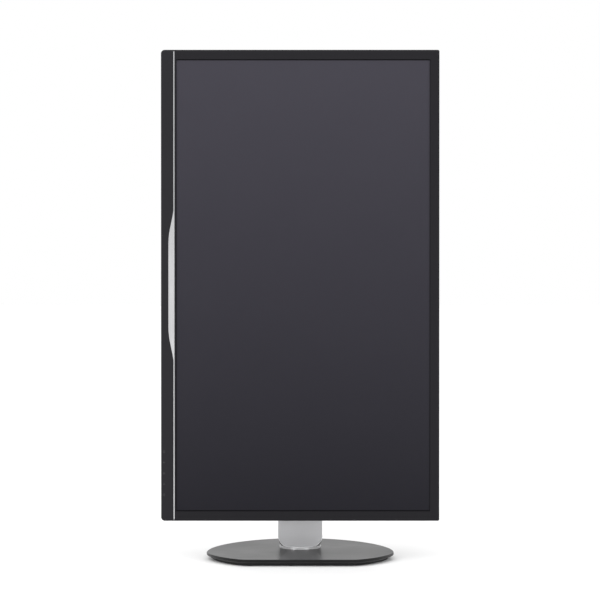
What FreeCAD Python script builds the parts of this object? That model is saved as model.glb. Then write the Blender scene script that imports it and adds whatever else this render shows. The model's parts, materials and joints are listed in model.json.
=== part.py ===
import FreeCAD, Part
import math
import os

from FreeCAD import Vector

# A large desktop monitor on a stand that lifts, tilts, swivels and pivots.
# It is stored upright (portrait), with the display raised as far as it goes.
#
# Units are millimetres. +Z is up and the screen faces -Y. The origin is on the desk, at the middle of the base.
# The display is built lying wide (landscape), where u runs right, v up and w back from the bezel's face,
# and is then turned a quarter turn clockwise about the pivot axis, so that its lower edge lies on the left.

# ---------------------------------------------------------------- driving dimensions
# Display, landscape
DISPLAY_W, DISPLAY_H, DISPLAY_T = 742.0, 438.5, 60.0
SIDE_LIP, TOP_LIP, CHIN = 15.2, 14.7, 23.8  # bezel width beside, above and below the screen
TOP_CORNER_R, CHIN_CORNER_R = 2.5, 6.0
BEZEL_T, BEZEL_LIP_T, BEZEL_WALL = 14.0, 2.0, 2.2
SHELL = 2.5  # wall of the plastic covers
AXIS_Z = 441.0  # pivot and tilt axis, at the top of the travel
FACE_Y = -118.0  # the bezel's face
BULGE_U, BULGE_LOW, BULGE_HIGH = 245.0, -130.0, 115.0  # thick middle of the rear cover, at its root
BULGE_ROOT_W = 26.0
RECESS = 60.0  # half side of the mounting recess
RECESS_FLOOR_W = 55.0

# Accent trim between the chin and the screen, measured up from the chin's edge
TRIM_LOW, TRIM_HIGH, TRIM_BELLY = 19.6, 21.2, 11.6
TRIM_BELLY_FULL, TRIM_BELLY_START = 66.0, 118.3  # half lengths of the wide middle
TRIM_END = 2.4
TRIM_PROUD, TRIM_DEEP = 0.25, 0.8

# Keys under the chin
KEY_NAMES = ["key_input", "key_volume", "key_menu", "key_back", "key_power"]
KEY_FIRST_U, KEY_PITCH = 262.0, 17.0
KEY_W = 18.5  # the keys' depth behind the bezel's face
KEY_TIP_V = -218.4

# Stand
BASE_HALF_W, BASE_FRONT, BASE_BACK = 151.0, -135.0, 135.0
BASE_TIP_Y, BASE_STRAIGHT = -41.0, 82.0  # where the base is widest, and half its straight front
FRONT_FULLNESS, REAR_FULLNESS = 0.40, 0.65  # of the plan's curves; 0.71 would make them ellipses
BASE_TOP, PLATE_LOW, PLATE_HIGH = 11.0, 5.0, 9.0
FEET = [(84, -107), (-84, -107), (122, -36), (-122, -36), (80, 70), (-80, 70), (0, 108)]
SWIVEL_Y, FOOT_R, STOP_R = 15.0, 22.0, 19.8  # STOP_R: the swivel stop's distance from the axis
FOOT_TOP = 18.0
COLLAR_R, COLLAR_LOW, COLLAR_HIGH = 34.0, 11.3, 14.8  # the round collar that the mast's covers stand on
MAST_LOW, MAST_HIGH = 15.0, 480.0
SHIELD_HALF_W, SHIELD_FRONT, SHIELD_EDGE, SHIELD_BACK = 36.0, -16.0, -12.5, 8.0
SHIELD_CORNER_R, SHIELD_EASE = 18.5, 1.6  # SHIELD_EASE: how far the front edge is drawn in
SHIELD_RIBS_Z = (60, 180, 300, 420)
REAR_HALF_W, REAR_BACK, REAR_CORNER_R = 34.5, 44.0, 8.0
SLOT_HALF_W, SLOT_LOW, SLOT_HIGH = 17.0, 236.0, 468.0
CHANNEL_HALF_W, CHANNEL_FRONT, CHANNEL_BACK, STEEL = 28.0, 2.0, 38.0, 2.5
CHANNEL_LOW, CHANNEL_HIGH = FOOT_TOP, 470.0

# Lift
CARRIAGE_HALF_W, CARRIAGE_LOW, CARRIAGE_HIGH = 19.0, 345.0, 460.0
COIL_Y, COIL_Z, COIL_R, HUB_R, SPRING_PIN_R = 22.0, 366.0, 11.0, 6.0, 3.0
BALL_R, BALL_X = 1.4, 22.5
BALL_ROWS_Y = (17.0, 23.0)
BALLS_PER_ROW, BALL_PITCH, BALL_LOW = 6, 24.0, 310.0
CAGE_LOW, CAGE_HIGH = 302.0, 438.0

# Head
TILT_Y, TILT_PIN_R = -36.0, 4.0
EAR_X, LUG_X, EAR_T = 11.0, 15.0, 3.0
PIVOT_R, PIVOT_END_Y = 6.0, -44.0
HEAD_PLATE_R, HEAD_PLATE_FRONT, HEAD_PLATE_BACK = 34.0, -55.5, -51.5
CUP_R, BARREL_R, HEAD_WALL = 42.0, 16.5, 2.5
RUNNING = 0.05  # radial clearance of a pin that turns in its bore


# ---------------------------------------------------------------- helpers
def block(x0, x1, y0, y1, z0, z1):
    return Part.makeBox(x1 - x0, y1 - y0, z1 - z0, Vector(x0, y0, z0))


def rod(radius, start, end):
    """A round bar between two points."""
    axis = end - start
    return Part.makeCylinder(radius, axis.Length, start, axis)


def tube(outer, inner, start, end):
    return rod(outer, start, end).cut(rod(inner, start, end))


def prism(points, radii, along):
    """A polygon with rounded corners, extruded; points are 3D and in one plane."""
    edges, count = [], len(points)
    starts, ends = [], []
    for i, corner in enumerate(points):
        before, after = points[i - 1], points[(i + 1) % count]
        radius = radii[i]
        back, ahead = (before - corner).normalize(), (after - corner).normalize()
        if radius <= 0:
            starts.append(corner)
            ends.append(corner)
            continue
        half = back.getAngle(ahead) / 2
        reach = radius / math.tan(half)
        a, b = corner + back * reach, corner + ahead * reach
        middle = (back + ahead).normalize()
        apex = corner + middle * (radius / math.sin(half) - radius)
        edges.append(Part.Arc(a, apex, b).toShape())
        starts.append(a)
        ends.append(b)
    for i in range(count):
        a, b = ends[i], starts[(i + 1) % count]
        if a.distanceToPoint(b) > 1e-6:
            edges.append(Part.makeLine(a, b))
    wire = Part.Wire(Part.sortEdges(edges)[0])
    return wire if along is None else Part.Face(wire).extrude(along)


def upright_rect(u0, u1, v0, v1, radii, y0, y1=None):
    """A rounded rectangle facing -Y: a wire at y0, or a solid from y0 to y1.

    radii is one radius, or four: low left, low right, top right, top left.
    """
    corners = [Vector(u0, y0, v0), Vector(u1, y0, v0), Vector(u1, y0, v1), Vector(u0, y0, v1)]
    if not isinstance(radii, (list, tuple)):
        radii = [radii] * 4
    return prism(corners, radii, None if y1 is None else Vector(0, y1 - y0, 0))


def fused(shapes):
    first = shapes[0]
    return first.multiFuse(shapes[1:]).removeSplitter() if len(shapes) > 1 else first


def cut_all(shape, tools):
    return shape.cut(Part.makeCompound(tools)) if tools else shape


def mirrored(shape):
    """The shape and its mirror image across x = 0, as separate solids."""
    return Part.makeCompound([shape, shape.mirror(Vector(0, 0, 0), Vector(1, 0, 0))])


def hex_nut(across, bore, start, end):
    """A hexagonal nut along an axis, with its corners at the radius `across`."""
    axis = (end - start).normalize()
    side = axis.cross(Vector(0, 0, 1)) if abs(axis.z) < 0.9 else Vector(1, 0, 0)
    side.normalize()
    up = axis.cross(side)
    corners = []
    for i in range(6):
        turn = math.radians(60 * i)
        corners.append(start + side * (across * math.cos(turn)) + up * (across * math.sin(turn)))
    body = prism(corners, [0] * 6, end - start)
    return body.cut(rod(bore, start, end))


def screw(head_r, head_t, shank_r, length, seat, direction):
    """A cap screw: `seat` is where its head's underside rests, and the shank runs along `direction`."""
    head = rod(head_r, seat - direction * head_t, seat)
    socket = rod(head_r * 0.5, seat - direction * head_t, seat - direction * (head_t * 0.4))
    return head.fuse(rod(shank_r, seat, seat + direction * length)).removeSplitter().cut(socket)


# ---------------------------------------------------------------- display helpers (landscape)
def at(u, w, v):
    return Vector(u, FACE_Y + w, AXIS_Z + v)


def panel(u0, u1, v0, v1, w0, w1, radii=0):
    """A rounded slab of the display, in landscape."""
    return upright_rect(u0, u1, AXIS_Z + v0, AXIS_Z + v1, radii, FACE_Y + w0, FACE_Y + w1)


def outline(inset, w):
    """The display's outline at depth w, drawn in by inset."""
    half_w, half_h = DISPLAY_W / 2 - inset, DISPLAY_H / 2 - inset
    low, top = max(CHIN_CORNER_R - inset, 1.5), max(TOP_CORNER_R - inset, 1.0)
    return upright_rect(
        -half_w, half_w, AXIS_Z - half_h, AXIS_Z + half_h, [low, low, top, top], FACE_Y + w
    )


def shell_stack(sections):
    """A solid through outlines, given as (inset, w)."""
    return Part.makeLoft([outline(inset, w) for inset, w in sections], True, True)


WINDOW = (
    -DISPLAY_W / 2 + SIDE_LIP,
    DISPLAY_W / 2 - SIDE_LIP,
    -DISPLAY_H / 2 + CHIN,
    DISPLAY_H / 2 - TOP_LIP,
)


def window_slab(grow, w0, w1, radii=0):
    """A slab as large as the bezel's window, grown on every side."""
    u0, u1, v0, v1 = WINDOW
    return panel(u0 - grow, u1 + grow, v0 - grow, v1 + grow, w0, w1, radii)


def to_portrait(shape):
    turned = shape.copy()
    turned.rotate(Vector(0, 0, AXIS_Z), Vector(0, 1, 0), 90)
    return turned


# ---------------------------------------------------------------- display
def trim_profile(grow, w0, w1):
    """The accent strip: thin, with a wide belly in the middle of the chin."""
    floor = -DISPLAY_H / 2
    high, low = floor + TRIM_HIGH + grow, floor + TRIM_LOW - grow
    belly = floor + TRIM_BELLY - grow
    end = DISPLAY_W / 2 - TRIM_END + grow
    start, full = TRIM_BELLY_START, TRIM_BELLY_FULL

    def shoulder(side):
        curve = Part.BezierCurve()
        curve.setPoles(
            [
                at(side * start, w0, low),
                at(side * (start - 20), w0, low - (low - belly) * 0.34),
                at(side * (full + 20), w0, belly),
                at(side * full, w0, belly),
            ]
        )
        return curve.toShape()

    edges = [
        Part.makeLine(at(-end, w0, high), at(end, w0, high)),
        Part.makeLine(at(end, w0, high), at(end, w0, low)),
        Part.makeLine(at(end, w0, low), at(start, w0, low)),
        shoulder(1),
        Part.makeLine(at(full, w0, belly), at(-full, w0, belly)),
        shoulder(-1),
        Part.makeLine(at(-start, w0, low), at(-end, w0, low)),
        Part.makeLine(at(-end, w0, low), at(-end, w0, high)),
    ]
    face = Part.Face(Part.Wire(Part.sortEdges(edges)[0]))
    return face.extrude(Vector(0, w1 - w0, 0))


def front_bezel():
    outer = shell_stack([(3.5, 0.0), (0.6, 0.12), (0.15, 0.45), (0.0, 1.0), (0.0, BEZEL_T)])
    cavity = shell_stack([(BEZEL_WALL, BEZEL_LIP_T), (BEZEL_WALL, BEZEL_T + 1)])
    u0, u1, v0, v1 = WINDOW
    eased = Part.makeLoft(
        [
            upright_rect(u0 - 0.6, u1 + 0.6, AXIS_Z + v0 - 0.6, AXIS_Z + v1 + 0.6, 1.2, FACE_Y - 0.3),
            upright_rect(u0, u1, AXIS_Z + v0, AXIS_Z + v1, 0.6, FACE_Y + 0.3),
        ],
        True,
        True,
    )
    hole = window_slab(0, 0.2, BEZEL_LIP_T + 1, 0.6)
    groove = trim_profile(0.15, -1.0, TRIM_DEEP)
    return outer.cut(cavity).cut(hole).cut(eased).cut(groove)


def accent_trim():
    trim = trim_profile(0, -TRIM_PROUD, TRIM_DEEP)
    front = [e for e in trim.Edges if e.BoundBox.YMax < FACE_Y - TRIM_PROUD + 0.01]
    return trim.makeChamfer(0.2, front)


def lcd_panel():
    return window_slab(3.2, 2.2, 3.8)


def panel_frame():
    return window_slab(7.5, 3.8, 5.0, 2).cut(window_slab(-1.5, 3.0, 6.0))


def optical_films():
    return window_slab(0.5, 5.1, 6.1)


def light_guide():
    u0, u1, v0, v1 = WINDOW
    return panel(u0, u1, v0 + 3.5, v1, 6.2, 9.2)


def led_strip():
    """The lamp bar under the light guide's lower edge, with its row of lamps."""
    u0, u1, v0, _ = WINDOW
    bar = panel(u0 + 4, u1 - 4, v0 - 1.5, v0 + 0.5, 6.2, 9.2)
    lamps = []
    count, pitch = 48, 14.6
    for i in range(count):
        u = (i - (count - 1) / 2) * pitch
        lamps.append(panel(u - 3.5, u + 3.5, v0 + 0.5, v0 + 2.9, 6.9, 8.5))
    return bar.multiFuse(lamps)


def backlight_chassis():
    pan = window_slab(5.5, 5.0, 10.3, 2).cut(window_slab(4.5, 4.0, 9.3, 1))
    ribs = [panel(-300, 300, v, v + 14, 10.3, 12.3, 2) for v in (-165, 150)]
    posts = [rod(4.5, at(u, 10, v), at(u, BOSS_W - 0.05, v)) for u, v in COVER_SCREWS]
    for u0, u1, v0, v1 in (MAIN_BOARD, POWER_BOARD):
        for u in (u0 + 6, u1 - 6):
            for v in (v0 + 6, v1 - 6):
                posts.append(rod(2.5, at(u, 10, v), at(u, BOARD_W - 0.05, v)))
    holes = [rod(1.7, at(u, BOSS_W - 12, v), at(u, BOSS_W, v)) for u, v in COVER_SCREWS]
    return cut_all(fused([pan] + ribs + posts), holes)


def vesa_bracket():
    """Steel bridge from the chassis to the recess, with the four threaded bosses of the 100 x 100 pattern."""
    top = panel(-66, 66, -66, 66, 50.0, 52.5, 4)
    legs = [panel(u, u + 2, -66, 66, 10.3, 50.0) for u in (-66, 64)]
    feet = [panel(-75, -64, -66, 66, 10.3, 12.3), panel(64, 75, -66, 66, 10.3, 12.3)]
    bosses, holes = [], []
    for u in (-50, 50):
        for v in (-50, 50):
            bosses.append(rod(4.8, at(u, 42, v), at(u, RECESS_FLOOR_W, v)))
            holes.append(rod(2.0, at(u, 43.5, v), at(u, RECESS_FLOOR_W + 1, v)))
    return cut_all(fused([top] + legs + feet + bosses), holes)


def bulge(inset_side, w_end, grow_w):
    """The thick middle of the rear cover, or its cavity."""
    low, high, side = BULGE_LOW + inset_side, BULGE_HIGH - inset_side, BULGE_U - inset_side

    def section(slope_side, slope_low, slope_high, radius, w):
        return upright_rect(
            -side + slope_side,
            side - slope_side,
            AXIS_Z + low + slope_low,
            AXIS_Z + high - slope_high,
            radius,
            FACE_Y + w,
        )

    return Part.makeLoft(
        [
            section(-4, 0, -4, 26, BULGE_ROOT_W - grow_w),
            section(12, 0.6, 12, 24, w_end - 12),
            section(22, 1.0, 22, 20, w_end - 3),
            section(25, 1.6, 25, 18, w_end),
        ],
        True,
        True,
    )


# sockets on the bulge's lower ledge: name, u, width, height (along w)
SOCKETS = [
    ("hdmi_a", -206.0, 15.0, 5.6),
    ("hdmi_b", -184.0, 15.0, 5.6),
    ("display_port", -161.0, 16.5, 6.0),
    ("analog", -133.0, 17.0, 9.0),
    ("usb_up", -109.0, 12.0, 10.8),
    ("usb_a", -90.0, 13.1, 5.7),
    ("usb_b", -72.0, 13.1, 5.7),
]
SOCKET_W = 34.0  # where the sockets stand on the main board
LEDGE_V = BULGE_LOW + 0.6
INLET_U, INLET_W = 112.0, 44.0
INLET_HALF_U, INLET_HALF_W = 14.0, 10.5
ROCKER_U, ROCKER_HALF_U, ROCKER_HALF_W = 156.0, 10.0, 6.5
LOCK_U = 62.0
VENT_LOW, VENT_HIGH = 66.5, 81.0
RELEASE_V, RELEASE_HALF_U, RELEASE_HALF_V = -76.0, 14.0, 6.0
COVER_SCREWS = [(-206, 68), (206, 68), (-206, -103), (206, -103)]
BOSS_W = 46.0  # where the rear cover's screw bosses meet the chassis posts
MAIN_BOARD, POWER_BOARD = (-218, -72, -119, -8), (80, 222, -94, -8)  # u from, to, v from, to
BOARD_W = 32.4
SPEAKER_U = (150.0, 236.0)


def rear_cover():
    plate = shell_stack([(1.0, BEZEL_T), (2.0, 21.0), (6.0, 24.6), (12.0, 26.5)])
    plate_in = shell_stack([(3.5, BEZEL_T - 1), (4.5, 20.5), (8.0, 22.7), (13.5, 24.0)])
    hump = bulge(0, DISPLAY_T, 1.0)
    hump_in = bulge(SHELL, DISPLAY_T - SHELL, 4.0)
    body = plate.fuse(hump).removeSplitter().cut(plate_in).cut(hump_in)
    # mounting recess
    body = body.fuse(panel(-62.5, 62.5, -62.5, 62.5, 52.5, DISPLAY_T - 1, 7)).removeSplitter()
    holes = [panel(-RECESS, RECESS, -RECESS, RECESS, RECESS_FLOOR_W, DISPLAY_T + 1, 5)]
    for u in (-50, 50):
        for v in (-50, 50):
            holes.append(rod(5.0, at(u, 50, v), at(u, 56, v)))
    # screw bosses
    bosses = [rod(5.0, at(u, BOSS_W, v), at(u, DISPLAY_T - 1, v)) for u, v in COVER_SCREWS]
    body = body.multiFuse(bosses).removeSplitter()
    for u, v in COVER_SCREWS:
        holes.append(rod(3.7, at(u, 57.5, v), at(u, DISPLAY_T + 1, v)))
        holes.append(rod(1.7, at(u, 45, v), at(u, 58, v)))
    # sockets, inlet, rocker and lock slot in the lower ledge
    for _, u, width, height in SOCKETS:
        holes.append(ledge_hole(u, SOCKET_W + height / 2, width / 2 + 0.4, height / 2 + 0.4))
    holes.append(ledge_hole(INLET_U, INLET_W, INLET_HALF_U + 0.3, INLET_HALF_W + 0.3))
    holes.append(ledge_hole(ROCKER_U, INLET_W, ROCKER_HALF_U + 0.9, ROCKER_HALF_W + 0.6))
    holes.append(ledge_hole(LOCK_U, INLET_W, 3.5, 1.5))
    # vents, release button and keys
    vent_count, vent_pitch = 58, 6.2
    for i in range(vent_count):
        u = (i - (vent_count - 1) / 2) * vent_pitch
        holes.append(panel(u - 1.5, u + 1.5, VENT_LOW, VENT_HIGH, 55, DISPLAY_T + 1, 1.4))
    holes.append(
        panel(
            -RELEASE_HALF_U - 0.4,
            RELEASE_HALF_U + 0.4,
            RELEASE_V - RELEASE_HALF_V - 0.4,
            RELEASE_V + RELEASE_HALF_V + 0.4,
            55,
            DISPLAY_T + 1,
            3,
        )
    )
    for i in range(len(KEY_NAMES)):
        u = KEY_FIRST_U + i * KEY_PITCH
        holes.append(panel(u - 6.2, u + 6.2, -221, -214, KEY_W - 2.2, KEY_W + 2.2))
    # speaker slots
    for side in (-1, 1):
        for i in range(14):
            u = side * (SPEAKER_U[0] + 8 + i * 5.4)
            holes.append(panel(u - 1.1, u + 1.1, -202, -188, 22, 28, 1.0))
    return cut_all(body, holes)


def ledge_hole(u, w, half_u, half_w):
    """A cut through the bulge's lower ledge."""
    return panel(u - half_u, u + half_u, LEDGE_V - 3, LEDGE_V + 4.5, w - half_w, w + half_w, 0)


def main_board():
    u, v = COVER_SCREWS[2]
    screw_hole = rod(6.0, at(u, BOARD_W - 1, v), at(u, SOCKET_W + 1, v))
    board = panel(*MAIN_BOARD, BOARD_W, SOCKET_W).cut(screw_hole)
    fin_gaps = [panel(-170.5 + 5 * i, -168 + 5 * i, -81, -45, 38, 45) for i in range(7)]
    chips = [
        panel(-170, -140, -78, -48, 34.0, 36.2),
        panel(-172, -138, -80, -46, 36.2, 44.0).cut(Part.makeCompound(fin_gaps)),
        panel(-118, -104, -84, -70, 34.0, 35.6),
        panel(-118, -104, -60, -46, 34.0, 35.6),
        panel(-212, -190, -40, -30, 34.0, 38.0),
        panel(-130, -90, -24, -14, 34.0, 37.0),
    ]
    return Part.makeCompound([board] + chips)


def power_board():
    board = panel(*POWER_BOARD, BOARD_W, SOCKET_W)
    pieces = [
        rod(9.0, at(100, 34, -32), at(100, 52, -32)),
        rod(7.0, at(122, 34, -30), at(122, 50, -30)),
        rod(5.0, at(140, 34, -26), at(140, 46, -26)),
        panel(150, 184, -50, -22, 34.0, 52.0, 2),
        panel(120, 124, -88, -52, 34.0, 50.0),
        panel(196, 214, -80, -60, 34.0, 46.0, 1),
        panel(146, 172, -84, -62, 34.0, 48.0, 1),
    ]
    return Part.makeCompound([board] + pieces)


def io_connectors():
    """The sockets' metal shells, each open downwards with its contact tongue inside."""
    shells = []
    for _, u, width, height in SOCKETS:
        low, high = LEDGE_V + 0.3, LEDGE_V + 14.0
        w0, w1 = SOCKET_W, SOCKET_W + height
        shell = panel(u - width / 2, u + width / 2, low, high, w0, w1, 0)
        inner = panel(u - width / 2 + 0.5, u + width / 2 - 0.5, low - 1, high - 2, w0 + 0.5, w1 - 0.5, 0)
        middle = (w0 + w1) / 2
        half_t = height * 0.13
        tongue = panel(
            u - width / 2 + 2.2, u + width / 2 - 2.2, low + 1.2, high - 2, middle - half_t, middle + half_t
        )
        shells.append(shell.cut(inner).fuse(tongue).removeSplitter())
    return Part.makeCompound(shells)


def power_inlet():
    """Three-pin mains inlet: a housing open downwards, with its blades."""
    low, high = LEDGE_V + 0.2, LEDGE_V + 24.0
    body = panel(
        INLET_U - INLET_HALF_U,
        INLET_U + INLET_HALF_U,
        low,
        high,
        INLET_W - INLET_HALF_W,
        INLET_W + INLET_HALF_W,
    )
    cavity = panel(
        INLET_U - 12.3, INLET_U + 12.3, low - 1, low + 17, INLET_W - 8.4, INLET_W + 8.4
    )
    blades = []
    for du, dw in ((-7.0, -2.8), (7.0, -2.8), (0.0, 1.2)):
        u, w = INLET_U + du, INLET_W + dw
        blades.append(panel(u - 1.0, u + 1.0, low + 2.5, low + 17, w - 2.0, w + 2.0))
    return fused([body.cut(cavity)] + blades)


def mains_rocker():
    """The rocker stands tipped to one side, about an axis along w; its hinge is at ROCKER_HINGE_V."""
    hinge = ROCKER_HINGE_V
    face_v = LEDGE_V + 0.4
    points = [
        (-ROCKER_HALF_U, face_v + 0.2),
        (0, face_v + 1.6),
        (ROCKER_HALF_U, face_v + 0.2),
        (ROCKER_HALF_U - 1.5, hinge - 1.0),
        (3.5, hinge + 3.0),
        (-3.5, hinge + 3.0),
        (-ROCKER_HALF_U + 1.5, hinge - 1.0),
    ]
    corners = [at(ROCKER_U + u, INLET_W - ROCKER_HALF_W, v) for u, v in points]
    body = prism(corners, [0] * len(corners), Vector(0, 2 * ROCKER_HALF_W, 0))
    body = body.cut(rod(1.5 + RUNNING, at(ROCKER_U, 20, hinge), at(ROCKER_U, 70, hinge)))
    body.rotate(at(ROCKER_U, 0, hinge), Vector(0, 1, 0), ROCKER_THROW / 2)
    return body


ROCKER_HINGE_V = LEDGE_V + 8.0
ROCKER_THROW = 14.0  # degrees from one side to the other


def rocker_pin():
    """The rocker's pin and the two cheeks that hold it."""
    hinge = ROCKER_HINGE_V
    cheeks = []
    for side in (-1, 1):
        near = INLET_W + side * (ROCKER_HALF_W + 0.6)
        far = near + side * 2.0
        cheeks.append(
            panel(ROCKER_U - 8, ROCKER_U + 8, LEDGE_V + 3.4, hinge + 6, min(near, far), max(near, far))
        )
    reach = ROCKER_HALF_W + 0.6
    pin = rod(1.5, at(ROCKER_U, INLET_W - reach, hinge), at(ROCKER_U, INLET_W + reach, hinge))
    return fused(cheeks + [pin])


def speakers():
    boxes = []
    for side in (-1, 1):
        near, far = sorted((side * SPEAKER_U[0], side * SPEAKER_U[1]))
        case = panel(near, far, -206, -184, 12.5, 21.5, 2)
        middle = (near + far) / 2
        cone = rod(8.0, at(middle, 20.3, -195), at(middle, 22, -195))
        dome = rod(3.0, at(middle, 20.0, -195), at(middle, 21.2, -195))
        boxes.append(case.cut(cone).fuse(dome).removeSplitter())
    return Part.makeCompound(boxes)


def key_board():
    """The strip of circuit board above the keys, with a switch over each one."""
    last = KEY_FIRST_U + (len(KEY_NAMES) - 1) * KEY_PITCH
    board = panel(KEY_FIRST_U - 12, last + 12, -208.0, -206.4, KEY_W - 3.4, KEY_W + 3.4)
    switches = []
    for i in range(len(KEY_NAMES)):
        u = KEY_FIRST_U + i * KEY_PITCH
        switches.append(panel(u - 3, u + 3, -210.0, -208.0, KEY_W - 3, KEY_W + 3))
    return Part.makeCompound([board] + switches)


def key(u):
    """One key: a cap through the lower wall, a flange that keeps it in and a stem."""
    cap = panel(u - 6, u + 6, KEY_TIP_V, -214.0, KEY_W - 2.0, KEY_W + 2.0, 0.4)
    flange = panel(u - 7.4, u + 7.4, -214.6, -213.4, KEY_W - 2.6, KEY_W + 2.0)
    stem = rod(1.4, at(u, KEY_W, -214.5), at(u, KEY_W, -210.8))
    return fused([cap, flange, stem])


def release_button():
    cap = panel(
        -RELEASE_HALF_U,
        RELEASE_HALF_U,
        RELEASE_V - RELEASE_HALF_V,
        RELEASE_V + RELEASE_HALF_V,
        56.0,
        60.4,
        2.6,
    )
    grip = [panel(-9, 9, RELEASE_V + dv - 0.5, RELEASE_V + dv + 0.5, 60.0, 61.0) for dv in (-2.5, 0, 2.5)]
    stem = panel(-4, 4, RELEASE_V - 3, RELEASE_V + 3, 47.0, 56.0)
    flange = panel(-RELEASE_HALF_U - 1.5, RELEASE_HALF_U + 1.5, RELEASE_V - 4, RELEASE_V + 4, 55.2, 57.3)
    return cut_all(fused([cap, stem, flange]), grip)


def cover_screws():
    return Part.makeCompound(
        [screw(3.4, 1.9, 1.5, 20.0, at(u, 57.5, v), Vector(0, -1, 0)) for u, v in COVER_SCREWS]
    )


# ---------------------------------------------------------------- pivot joint, on the display
def y_axis(y):
    return Vector(0, y, AXIS_Z)


def stand_plate():
    """The square plate that drops into the display's recess; the pivot shaft's flange is screwed to it."""
    plate = panel(-42, 42, -42, 42, RECESS_FLOOR_W, RECESS_FLOOR_W + 3.0, 6)
    back = [e for e in plate.Edges if e.BoundBox.YMin > FACE_Y + RECESS_FLOOR_W + 2.9]
    plate = plate.makeChamfer(0.6, back)
    windows = [rod(4.0, at(u, 54, v), at(u, 59, v)) for u in (-32, 32) for v in (-32, 32)]
    return cut_all(plate, windows)


def pivot_shaft():
    flange = rod(22.0, y_axis(-60.0), y_axis(-57.0))
    shaft = rod(PIVOT_R, y_axis(-57.0), y_axis(PIVOT_END_Y))
    return flange.fuse(shaft).removeSplitter()


def pivot_washers():
    front = tube(20.0, PIVOT_R + 0.3, y_axis(-57.0), y_axis(-55.55))
    back = tube(9.6, PIVOT_R + 0.3, y_axis(-51.45), y_axis(-50.4))
    return Part.makeCompound([front, back])


def pivot_nut():
    return hex_nut(9.6, PIVOT_R + 0.02, y_axis(-50.4), y_axis(-45.4))


# ---------------------------------------------------------------- tilt head
def tilt_bracket():
    plate = rod(HEAD_PLATE_R, y_axis(HEAD_PLATE_FRONT), y_axis(HEAD_PLATE_BACK))
    lugs = []
    for side in (-1, 1):
        x = LUG_X if side > 0 else -LUG_X - EAR_T
        profile = [
            Vector(x, HEAD_PLATE_BACK - 1, AXIS_Z - 14),
            Vector(x, TILT_Y, AXIS_Z - 9),
            Vector(x, TILT_Y, AXIS_Z + 9),
            Vector(x, HEAD_PLATE_BACK - 1, AXIS_Z + 14),
        ]
        lugs.append(prism(profile, [0] * 4, Vector(EAR_T, 0, 0)))
        lugs.append(rod(9.0, Vector(x, TILT_Y, AXIS_Z), Vector(x + EAR_T, TILT_Y, AXIS_Z)))
    body = fused([plate] + lugs)
    bores = [
        rod(PIVOT_R + RUNNING, y_axis(-60), y_axis(-50)),
        rod(TILT_PIN_R + RUNNING, Vector(-20, TILT_Y, AXIS_Z), Vector(20, TILT_Y, AXIS_Z)),
    ]
    return cut_all(body, bores)


def tilt_point(x):
    return Vector(x, TILT_Y, AXIS_Z)


def tilt_washers():
    inner = tube(8.5, TILT_PIN_R + 0.15, tilt_point(14.05), tilt_point(14.95))
    outer = tube(8.0, TILT_PIN_R + 0.15, tilt_point(28.6), tilt_point(29.4))
    return Part.makeCompound([mirrored(inner), mirrored(outer)])


def torsion_springs():
    """Two close-wound springs round the tilt pin that carry part of the display's weight."""
    coil_r, wire_r, pitch, turns, start = 6.4, 0.9, 1.6, 6, 19.2
    rings = []
    for i in range(turns):
        rings.append(Part.makeTorus(coil_r, wire_r, tilt_point(start + i * pitch), Vector(1, 0, 0)))
    return mirrored(rings[0].multiFuse(rings[1:]))


def head_cover():
    """The plastic shroud of the tilt head: a shallow cup over the pivot and a barrel round the tilt pin."""
    front, cup_back, cap = -56.3, -46.0, 37.0
    cup = rod(CUP_R, y_axis(front), y_axis(cup_back))
    rim = [e for e in cup.Edges if e.BoundBox.YMin > cup_back - 0.01 and e.BoundBox.XLength > 1]
    cup = cup.makeFillet(4.0, rim)
    barrel = rod(BARREL_R, tilt_point(-cap), tilt_point(cap))
    barrel = barrel.makeFillet(2.5, [e for e in barrel.Edges if e.BoundBox.XLength < 0.01])
    outer = cup.fuse(barrel).removeSplitter()
    hollow = [
        rod(CUP_R - HEAD_WALL, y_axis(front - 1), y_axis(cup_back - HEAD_WALL)),
        rod(BARREL_R - HEAD_WALL, tilt_point(-cap + HEAD_WALL), tilt_point(cap - HEAD_WALL)),
        block(-21, 21, cup_back - 4, TILT_Y, AXIS_Z - 13.9, AXIS_Z + 13.9),
    ]
    # the arm comes in from behind; the window leaves it room to swing
    arm = prism(
        [
            Vector(-EAR_X - EAR_T - 1.2, TILT_Y + 1, AXIS_Z - 12),
            Vector(-EAR_X - EAR_T - 1.2, TILT_Y + 20, AXIS_Z - 26),
            Vector(-EAR_X - EAR_T - 1.2, TILT_Y + 20, AXIS_Z + 26),
            Vector(-EAR_X - EAR_T - 1.2, TILT_Y + 1, AXIS_Z + 12),
        ],
        [0] * 4,
        Vector(2 * (EAR_X + EAR_T + 1.2), 0, 0),
    )
    return cut_all(outer, hollow + [arm])


# ---------------------------------------------------------------- lift carriage
def hinge_yoke():
    base = block(-14, 14, 1, 4, AXIS_Z - 18, AXIS_Z + 18)
    ears = []
    for side in (-1, 1):
        x = EAR_X if side > 0 else -EAR_X - EAR_T
        profile = [
            Vector(x, 2, AXIS_Z - 15),
            Vector(x, TILT_Y, AXIS_Z - 8.5),
            Vector(x, TILT_Y, AXIS_Z + 8.5),
            Vector(x, 2, AXIS_Z + 15),
        ]
        ears.append(prism(profile, [0] * 4, Vector(EAR_T, 0, 0)))
        ears.append(rod(8.5, Vector(x, TILT_Y, AXIS_Z), Vector(x + EAR_T, TILT_Y, AXIS_Z)))
    body = fused([base] + ears)
    bores = [rod(TILT_PIN_R + 0.02, tilt_point(-20), tilt_point(20))]
    for x, z in YOKE_SCREWS:
        bores.append(rod(2.1, Vector(x, 0, z), Vector(x, 5, z)))
    return cut_all(body, bores)


YOKE_SCREWS = [(-7, AXIS_Z - 12), (7, AXIS_Z - 12), (-7, AXIS_Z + 12), (7, AXIS_Z + 12)]


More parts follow.
